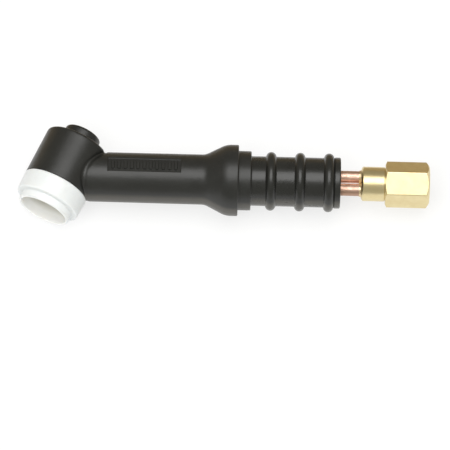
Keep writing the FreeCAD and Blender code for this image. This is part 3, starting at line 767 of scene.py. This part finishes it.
def rib_corners(centre):
    """A rib's section: an arc of its circle above the shank, with a small hollow at each foot."""
    lift = math.asin((SHANK_RADIUS - RIB_CIRCLE) / RIB_ROUND)
    angles = np.linspace(math.pi - lift, lift, 17)
    stations = centre + RIB_ROUND * np.cos(angles)
    radii = RIB_CIRCLE + RIB_ROUND * np.sin(angles)
    hollow = np.zeros(len(angles))
    hollow[[0, -1]] = 0.3
    return np.stack([stations, radii, hollow], axis=1)


def rear_profile():
    """Corners of the rear, from the neck's end to the middle of the rear face."""
    corners = [[NECK_END, neck_skin(NECK_END), 0], [FLARE_START, NECK_REAR, 5.4],
               [FLARE_WIDEST, FLARE_RADIUS, 8.0], [FLARE_END, FLARE_RADIUS, 0.4],
               [FLARE_END, STEP_RADIUS, 0.2], [STEP_END, STEP_RADIUS, 0.4], [STEP_END, SHANK_RADIUS, 0.25]]
    corners += [corner for centre in RIB_CENTRES for corner in rib_corners(centre).tolist()]
    corners += [[RIM_START, SHANK_RADIUS, 0.15], [RIM_START, RIM_RADIUS, 0.15],
                [SHANK_END, RIM_RADIUS, 0.45], [SHANK_END, 0.0, 0]]
    return filled_in(rounded_profile(corners, 0.2), 0.8)


# %% Carry the profile round and sew the head on
def turned_rear():
    """Every profile point becomes a ring; over the neck the panel changes the ring's radius."""
    stations = neck_stations()
    neck = np.stack([stations, neck_skin(stations)], axis=1)
    profile = np.vstack([neck, rear_profile()])
    station, turn, skin = carried_round(profile, panel_turns())
    radius = panel_radius(station, turn, skin)
    print("rest of the jacket:", radius.shape[0], "rings of", radius.shape[1])
    return turned_mesh("jacket_rear", radius, turn + PANEL_ANGLE, station, along_neck)


def sewn(head, rear):
    """Both parts in one mesh, with faces bridging the head's cut rim and the rear's first ring."""
    sewing = bmesh.new()
    sewing.from_mesh(head)
    sewing.from_mesh(rear)
    bmesh.ops.remove_doubles(sewing, verts=sewing.verts, dist=1e-7)
    near = to_model([CUT_STATION + 0.3, 0.0, 0.0])[0]
    rims = [edge for edge in sewing.edges if edge.is_boundary and max(v.co.x for v in edge.verts) < near]
    print("edges of the two rims:", len(rims))
    bmesh.ops.bridge_loops(sewing, edges=rims)
    sewing.to_mesh(head)
    sewing.free()
    return head


jacket_mesh = close_up(sewn(jacket_mesh, turned_rear()), sharp=50)

# %% [markdown]
# ## Channels for the conductors
# The rubber was moulded round two copper conductors, so it has two round channels from the core's
# pocket to its rear face.  A boolean cuts them out exactly, with a tool that is a plain closed drum.
# The buried braze takes its own place out of the rubber too, as a cone round each conductor.  The same
# drill makes the sockets and the gas ports in the brass further down.

# %% A drill, and the channels in the rubber
TUBE_SIDE = 2.4
ROD_SIDE = -2.4
CONDUCTOR_RADIUS = 2.2
GAS_RADIUS = 1.5
CLEARANCE = 0.02
SOCKET_RADIUS = CONDUCTOR_RADIUS + CLEARANCE
CHANNEL_START = 5.5
BRAZE_START = 6.4
BRAZE_END = 12.22
BRAZE_WIDE_RADIUS = 3.72
BRAZE_THIN_RADIUS = 2.31


def drill(name, start, end, radius, side, end_radius=None):
    """A closed round tool along the neck, moved sideways: a drum, or a cone with an end radius."""
    corners = np.array([(0.0, start), (radius, start), (end_radius or radius, end), (0.0, end)])
    return close_up(turned_mesh(name, *carried_round(corners, even_angles(48)), along_neck, aside=side))


def drilled(mesh, start, end, sharp):
    """The mesh with one socket or channel for each conductor, from start to end along the neck."""
    for side in (TUBE_SIDE, ROD_SIDE):
        mesh = cut_away(mesh, drill("conductor_drill", start, end, SOCKET_RADIUS, side))
    return close_up(mesh, sharp)


jacket_mesh = drilled(jacket_mesh, CHANNEL_START, SHANK_END + 0.7, sharp=50)
for side in (TUBE_SIDE, ROD_SIDE):
    braze_cone = drill("braze_drill", BRAZE_START, BRAZE_END, BRAZE_WIDE_RADIUS, side, BRAZE_THIN_RADIUS)
    jacket_mesh = close_up(cut_away(jacket_mesh, braze_cone), sharp=50)
add_piece("rubber_jacket_look", jacket_mesh, RUBBER, BODY, ["rubber_jacket"])

# %% [markdown]
# ## The gasket
# The gasket is a turned ring with a flange that matches the rubber head, a thinner nose, a wide mouth
# for the nozzle cup, and a floor with a hole through it.  Its section is one closed loop of corners,
# each with its rounding, carried round the head's axis.  A Screw modifier would turn the same section,
# but on a leaning axis it is simpler to work out the rings as one array.

# %% Turn the gasket
GASKET_BACK = NOZZLE_END - 0.05
GASKET_SEAT = GASKET_BACK - 7.1
GASKET_RIM = GASKET_BACK - 9.95
GASKET_FLOOR = GASKET_BACK - 3.5
SPIGOT_STOP = GASKET_BACK - 2.5
GASKET_CORNERS = [
    (7.5, GASKET_BACK, 0.0), (11.80, GASKET_BACK, 0.35), (11.50, GASKET_SEAT, 0.6), (9.6, GASKET_SEAT, 0.45),
    (9.5, GASKET_RIM, 0.4), (8.5, GASKET_RIM, 0.4), (8.5, GASKET_FLOOR, 0.35), (5.25, GASKET_FLOOR, 0.25),
    (5.25, SPIGOT_STOP, 0.15), (6.55, SPIGOT_STOP, 0.1), (6.55, GASKET_BACK, 0.2), (7.5, GASKET_BACK, 0.0),
]


def turned_gasket():
    """The closed section carried round the head's axis in 256 steps."""
    section = filled_in(rounded_profile(GASKET_CORNERS, 0.12), 0.9)[:-1]
    return turned_mesh("cup_gasket_look", *carried_round(section, even_angles(256)), along_head, closed=True)


gasket_mesh = close_up(turned_gasket())
add_piece("cup_gasket_look", gasket_mesh, GASKET_WHITE, GASKET_BODY, ["cup_gasket"])

# %% [markdown]
# ## Threads
# A thread is a bore whose radius goes up and down along a helix: at each point the phase is the
# distance along the axis over the pitch, minus the turn round it.  The crests and roots of a cut
# thread are slightly rounded, and it fades out at its ends, where the tool enters and leaves.

# %% The height of a thread at any point of a bore
def thread_height(station, angle, pitch, start, end):
    """From 0 on the bore to 1 at the thread's root: a rounded triangle wave, faded over half a pitch."""
    phase = station / pitch - angle / (2 * math.pi)
    wave = 1 - 2 * np.abs(phase - np.floor(phase) - 0.5)
    wave = 0.5 - 0.5 * np.cos(math.pi * np.clip(1.25 * wave - 0.125, 0, 1))
    low, high = min(start, end), max(start, end)
    fade = np.clip((station - low) / (0.5 * pitch), 0, 1) * np.clip((high - station) / (0.5 * pitch), 0, 1)
    return wave * fade


# %% [markdown]
# ## The brass core of the head
# Only its ends show: the spigot's rim inside the gasket and the ring in the cap collar, with the
# thread going down into each bore.  It is a closed section carried round the head's axis, with the
# threads added to the radius where the section is a bore.  The gas port and the conductors' sockets
# are drilled into its wall.

# %% Turn the core and cut its threads
CORE_BORE = 3.7
THREAD_BORE = 4.5
THREAD_DEPTH = 0.5
THREAD_PITCH = 1.0
CORE_LOW = -6.9
CORE_MIDDLE = 3.0
CORE_HIGH = 17.5
PORT_INNER = 3.0
PORT_OUTER = 8.0
PAST_CORE = 11.0
TUBE_START = 7.4
ROD_START = 5.6
CORE_CORNERS = [
    (CORE_RADIUS, CORE_MIDDLE, 0.0), (CORE_RADIUS, CORE_SHOULDER, 0.0),
    (CORE_CAP_RADIUS, CORE_SHOULDER, 0.0), (CORE_CAP_RADIUS, CORE_HIGH, 0.12),
    (5.0, CORE_HIGH, 0.08), (THREAD_BORE, CORE_HIGH - 0.5, 0.08), (THREAD_BORE, CORE_HIGH - 7, 0.1),
    (CORE_BORE, CORE_HIGH - 7.8, 0.1), (CORE_BORE, CORE_LOW + 8.8, 0.1), (THREAD_BORE, CORE_LOW + 8.0, 0.1),
    (THREAD_BORE, CORE_LOW + 0.5, 0.08), (5.0, CORE_LOW, 0.08), (6.0, CORE_LOW, 0.08),
    (6.5, CORE_LOW + 0.5, 0.08), (6.5, NOZZLE_END, 0.0), (CORE_RADIUS, NOZZLE_END, 0.0),
    (CORE_RADIUS, CORE_MIDDLE, 0.0),
]


def turned_core():
    """The section's rings, with both threads worked into the radius of the two wide bores."""
    section = filled_in(rounded_profile(CORE_CORNERS, 0.08), 0.6, THREAD_BORE)[:-1]
    radius, angle, height = carried_round(section, even_angles(144))
    in_bore = np.abs(radius - THREAD_BORE) < 0.02
    lower = thread_height(height, angle, THREAD_PITCH, CORE_LOW + 0.5, CORE_LOW + 7.6)
    upper = thread_height(height, angle, THREAD_PITCH, CORE_HIGH - 6.6, CORE_HIGH - 0.5)
    radius = radius + THREAD_DEPTH * in_bore * np.where(height < CORE_MIDDLE, lower, upper)
    return turned_mesh("head_core_look", radius, angle, height, along_head, closed=True)


core_mesh = close_up(turned_core(), sharp=35)
core_mesh = cut_away(core_mesh, drill("core_port_drill", PORT_INNER, PORT_OUTER, GAS_RADIUS, TUBE_SIDE))
core_mesh = cut_away(core_mesh, drill("tube_socket_drill", TUBE_START, PAST_CORE, SOCKET_RADIUS, TUBE_SIDE))
core_mesh = cut_away(core_mesh, drill("rod_socket_drill", ROD_START, PAST_CORE, SOCKET_RADIUS, ROD_SIDE))
core_mesh = close_up(core_mesh, sharp=35)
add_piece("head_core_look", core_mesh, CORE_BRASS, BODY, ["head_core"])

# %% [markdown]
# ## The rear connector
# It is turned from hexagon bar.  The round collar and the groove are a plain profile; over the
# hexagon, the radius at an angle is the distance to the nearest flat, and the lathe's chamfer cuts
# the corners off where its cone is lower.  Taking a smooth minimum of the two gives the curved
# scallops that every turned hexagon has, with slightly softened edges.  A boolean with a six-sided
# prism would leave the same scallops with knife edges, which catch no light.

# %% The connector's outside and its threaded bore
HEX_FLATS = 14.0
HEX_CORNER = 8.07
HEX_TURN = math.radians(19.0)
HEX_FRONT = 113.6
HEX_BACK = 128.995
FERRULE_FRONT = 105.2
FERRULE_RADIUS = 6.05
GROOVE_RADIUS = 5.7
SOCKET_MOUTH = 104.5
CONDUCTORS_END = 110.2
PORT_FRONT = 110.0
PORT_BACK = 119.0
HOSE_BORE = 4.25
HOSE_DEPTH = 0.48
HOSE_PITCH = 1.058
HOSE_BOTTOM = 118.2
FRONT_CHAMFER = [(HEX_FRONT + 0.06 * k, 7.1 + 0.12 * k, 0.0) for k in range(11)]
REAR_CHAMFER = [(127.7 + 0.078 * k, 8.3 - 0.108 * k, 0.0) for k in range(12)]
CONNECTOR_CORNERS = [
    (FERRULE_FRONT, 0.0, 0), (FERRULE_FRONT, 5.5, 0.15), (105.75, FERRULE_RADIUS, 0.25),
    (113.2, FERRULE_RADIUS, 0.15), (113.35, GROOVE_RADIUS, 0.05), (HEX_FRONT, GROOVE_RADIUS, 0.05),
    *FRONT_CHAMFER, *REAR_CHAMFER, (HEX_BACK, 6.5, 0.2), (HEX_BACK, 4.85, 0.1), (128.4, HOSE_BORE, 0.1),
    (HOSE_BOTTOM, HOSE_BORE, 0.1), (HOSE_BOTTOM - 1.3, 0.0, 0),
]


def hexagon_radius(angle):
    """Distance from the axis to the hexagon's edge: half the flats over cos of the turn from a flat.

    A lathe cut at a slightly smaller radius takes the very corners off.
    """
    from_flat = np.mod(angle - HEX_TURN - math.pi / 2 + math.pi / 6, math.pi / 3) - math.pi / 6
    return smooth_union(HEX_FLATS / 2 / np.cos(from_flat), HEX_CORNER, 0.06)


def turned_connector():
    """Rings of the whole profile, trimmed by the hexagon outside and threaded inside."""
    section = filled_in(rounded_profile(CONNECTOR_CORNERS, 0.07), 0.4, HOSE_BORE)
    station, angle, radius = carried_round(section, even_angles(300))
    outside = np.arange(len(section))[:, None] < np.argmax(section[:, 0] > HEX_BACK - 1e-4)
    trimmed = smooth_union(radius, hexagon_radius(angle), 0.12)
    on_hexagon = outside & (station > HEX_FRONT - 1e-6) & (radius > 6.6)
    threaded = ~outside & (np.abs(radius - HOSE_BORE) < ON_BORE)
    helix = thread_height(station, angle, HOSE_PITCH, HOSE_BOTTOM + 0.8, HEX_BACK - 0.5)
    radius = np.where(on_hexagon, trimmed, radius) + HOSE_DEPTH * threaded * helix
    return turned_mesh("rear_connector_look", radius, angle, station, along_neck)


connector_mesh = drilled(close_up(turned_connector(), sharp=30), SOCKET_MOUTH, CONDUCTORS_END, sharp=30)
port_drill = drill("connector_port_drill", PORT_FRONT, PORT_BACK, GAS_RADIUS, TUBE_SIDE)
connector_mesh = cut_away(connector_mesh, port_drill)
connector_mesh = close_up(connector_mesh, sharp=30)
add_piece("rear_connector_look", connector_mesh, CONNECTOR_BRASS, BODY, ["rear_connector"])

# %% [markdown]
# ## The two conductors and their braze
# The conductors are soft copper, straightened by hand, so they are never quite round or straight.
# Each is a circle carried along the neck with a slow wander in its radius, where a curve with a bevel
# would be too perfect.  The braze that holds them
# has run up between the two and thins away along them, so its outline is the outline of both
# conductors, offset by an amount that falls off from the connector.

# %% Draw the conductors
THINNING = 0.05


def wander(station, angle, seed):
    """A slow unevenness from a few sines of the place along and round a conductor, from -1 to 1."""
    first = np.sin(station * 1.9 + seed) * np.cos(angle * 2 + seed * 1.7)
    second = np.sin(station * 4.3 + seed * 2.1 + angle) * 0.5
    return (first + second) / 1.5


def conductor(name, side, start, bore, seed):
    """A tube or rod along the neck; with a bore its section is closed, without one it ends in poles.

    Where it shows, behind the rubber, it is a little thinner by an amount that wanders.
    """
    stations = np.linspace(start, CONDUCTORS_END, 260)
    outer = np.stack([np.full(len(stations), CONDUCTOR_RADIUS), stations], axis=1)
    if bore:
        inner = np.stack([np.full(len(stations), bore), stations[::-1]], axis=1)
        section = np.vstack([outer, inner])
    else:
        section = np.vstack([[[0.0, start]], outer, [[0.0, CONDUCTORS_END]]])
    radius, angle, station = carried_round(section, even_angles(64))
    showing = (radius > 2.0) & (station > SHANK_END - 1)
    radius = radius - THINNING * showing * (1 + wander(station, angle, seed))
    return close_up(turned_mesh(name, radius, angle, station, along_neck, closed=bool(bore), aside=side))


gas_mesh = conductor("gas_tube_look", TUBE_SIDE, TUBE_START, GAS_RADIUS, 0.4)
add_piece("gas_tube_look", gas_mesh, COPPER, BODY, ["gas_tube"])
rod_mesh = conductor("current_rod_look", ROD_SIDE, ROD_START, 0.0, 2.3)
add_piece("current_rod_look", rod_mesh, COPPER, BODY, ["current_rod"])


# %% Run the braze round them
PUDDLE_START = 104.35
PUDDLE_LENGTH = 0.95


def pair_outline(angle, radius):
    """The outline of two equal circles, one round each conductor, seen from the middle between them.

    Along a direction the farther crossing with either circle is b + sqrt(radius^2 - side^2 + b^2),
    with b the circle's side offset along that direction; a smooth maximum of the two fills the waist.
    """
    def farther(side):
        along = side * np.cos(angle)
        inside = np.maximum(radius ** 2 - side ** 2 + along ** 2, 0.0)
        return along + np.sqrt(inside)
    return -smooth_union(-farther(TUBE_SIDE), -farther(ROD_SIDE), 0.8)


def braze_puddle():
    """A closed skin from the thin front edge to the connector's face, then back to the middle."""
    angles = even_angles(144)
    step, angle = np.meshgrid(np.linspace(0, 1, 14), angles, indexing="ij")
    swell = 0.10 + 0.75 * (1 - np.sqrt(1 - step ** 2))
    uneven = 0.12 * step * wander(step * 1.3, angle * 1.5, 5.0)
    reach = pair_outline(angle, CONDUCTOR_RADIUS + CLEARANCE) + swell + uneven
    edge = 0.25 * np.sin(angle * 3 + 1.0) * (1 - step)
    station = PUDDLE_START + PUDDLE_LENGTH * step + 0.1 * edge
    middle = np.zeros((1, len(angles)))
    radius = np.vstack([middle, reach, middle])
    along = np.vstack([middle + station[0].mean(), station, middle + station[-1].mean()])
    return turned_mesh("rear_braze_look", radius, angles, along, along_neck)


braze_mesh = close_up(braze_puddle(), sharp=60)
add_piece("rear_braze_look", braze_mesh, BRAZE, BODY, ["rear_braze"])

# %% [markdown]
# ## What stays as the engineering model made it
# The braze inside the head is buried in rubber.  Its shape is right as it is, so it only gets the
# braze's finish.

# %% Finish the hidden braze
hidden = frame["nodes"]["head_braze"].data
hidden.materials.clear()
hidden.materials.append(BRAZE)

# %% [markdown]
# ## The table, the light and the camera
# The torch lies on a pale table under one large soft light that hangs a little behind it, as over a
# workbench.  A weaker one in front lights only what is matt, so it adds no highlight of its own, and
# the bright room all round fills the shadows.  A low card behind the torch is there for reflections:
# it gives polished metal something darker to show.  The camera looks down steeply from the front
# through a long lens, rolled by a degree or two.

# %% A pale table
SHEET_DARKER = (0.265, 0.267, 0.270)
SHEET_LIGHTER = (0.275, 0.277, 0.280)


def table_finish():
    """A light table's top: a grey matt sheet that glows softly, which together look near white."""
    material, tree, shader, place = new_material("pale_table")
    sheet = blend_colours(tree, noise(tree, place, 60.0, 3.0), SHEET_DARKER, SHEET_LIGHTER)
    tree.links.new(sheet, shader.inputs["Base Color"])
    shader.inputs["Roughness"].default_value = 0.9
    shader.inputs["Specular IOR Level"].default_value = 0.1
    shader.inputs["Emission Color"].default_value = (1.0, 1.0, 1.0, 1.0)
    shader.inputs["Emission Strength"].default_value = 0.73
    return material


def round_table(radius=3.0, columns=96):
    """A disc: one ring of points round a middle, at the height the torch lies on."""
    angles = even_angles(columns)
    ring = np.stack([radius * np.cos(angles), radius * np.sin(angles), np.zeros(columns)], axis=1)
    mesh = bpy.data.meshes.new("table_top")
    mesh.from_pydata(ring.tolist(), [], [list(range(columns))])
    mesh.materials.append(table_finish())
    table = bpy.data.objects.new("table_top", mesh)
    bpy.context.scene.collection.objects.link(table)


round_table()


# %% Soft light
def aim(light, target):
    """Turns a light so that its own -z points at the target, with its y kept upward."""
    direction = Vector(target - np.array(light.location))
    light.rotation_euler = direction.to_track_quat("-Z", "Y").to_euler()


def soft_light(name, place, target, size, power, glossy=True):
    """A rectangular area light; sizes in metres, power in watts.  Reflections show it if it is glossy."""
    light = bpy.data.lights.new(name, "AREA")
    light.shape = "RECTANGLE"
    light.size, light.size_y = size
    light.energy = power
    holder = bpy.data.objects.new(name, light)
    holder.location = place
    bpy.context.scene.collection.objects.link(holder)
    holder.visible_glossy = glossy
    aim(holder, np.array(target))


MIDDLE = to_model([56.83, 0.0, 0.0])
soft_light("overhead_softbox", (0.0, 0.05, 0.8), MIDDLE, (0.8, 0.58), 4.3)
soft_light("front_fill", (-0.24, -0.40, 0.74), CAP_POINT, (0.45, 0.4), 2.5, glossy=False)

# %% A bright room with a dim far wall
ROOM_FRONT = (0.46, 0.452, 0.405)
ROOM_BACK = (0.335, 0.315, 0.27)


def bright_room():
    """A grey-white room all round, a little dimmer and warmer behind the torch."""
    room = bpy.data.worlds.new("bright_room")
    room.use_nodes = True
    tree = room.node_tree
    _, toward_back, _ = split_axes(tree, tree.nodes.new("ShaderNodeTexCoord").outputs["Generated"])
    colour = mottled(tree, toward_back, -0.4, 0.5, ROOM_FRONT, ROOM_BACK)
    tree.links.new(colour, tree.nodes["Background"].inputs["Color"])
    tree.nodes["Background"].inputs["Strength"].default_value = 1.0
    return room


bpy.context.scene.world = bright_room()
bpy.context.scene.view_settings.view_transform = "Standard"

# %% A low card behind the torch
def mirror_card(behind=0.032, height=0.022, width=0.3):
    """A low sand-coloured strip that the camera doesn't see and that casts no shadow."""
    corners = [(-width / 2, behind, 0.0005), (width / 2, behind, 0.0005),
               (width / 2, behind, height), (-width / 2, behind, height)]
    mesh = bpy.data.meshes.new("mirror_card")
    mesh.from_pydata(corners, [], [(0, 1, 2, 3)])
    material, _, shader, _ = new_material("sand_coloured_card")
    shader.inputs["Base Color"].default_value = (0.55, 0.44, 0.29, 1.0)
    shader.inputs["Roughness"].default_value = 0.9
    mesh.materials.append(material)
    card = bpy.data.objects.new("mirror_card", mesh)
    bpy.context.scene.collection.objects.link(card)
    card.visible_camera = False
    card.visible_diffuse = False
    card.visible_shadow = False


mirror_card()

# %% The camera
ELEVATION = math.radians(68.6)
ROLL = math.radians(1.5)
DISTANCE = 1.58
SPAN = 0.1578
SENSOR_WIDTH = 36.0
ASIDE = 0.00053
BELOW = 0.01573


def bench_camera():
    """A long lens looking down from the front; its view is SPAN wide at the torch.

    It stands ASIDE to the right of the torch's middle and BELOW it, so the torch lies high in the view.
    """
    lens = bpy.data.cameras.new("bench_camera")
    lens.sensor_width = SENSOR_WIDTH
    lens.lens = SENSOR_WIDTH * DISTANCE / SPAN
    lens.clip_start = 0.05
    lens.clip_end = 20.0
    camera = bpy.data.objects.new("bench_camera", lens)
    bpy.context.scene.collection.objects.link(camera)
    toward = np.array([0.0, -math.cos(ELEVATION), math.sin(ELEVATION)])
    level_up = np.array([0.0, math.sin(ELEVATION), math.cos(ELEVATION)])
    level_right = np.array([1.0, 0.0, 0.0])
    right = level_right * math.cos(ROLL) + level_up * math.sin(ROLL)
    up = level_up * math.cos(ROLL) - level_right * math.sin(ROLL)
    camera.location = MIDDLE + toward * DISTANCE + right * ASIDE - up * BELOW
    camera.rotation_euler = (math.pi / 2 - ELEVATION, 0.0, 0.0)
    camera.rotation_mode = "XYZ"
    camera.rotation_euler.rotate_axis("Z", ROLL)
    bpy.context.scene.camera = camera


bench_camera()
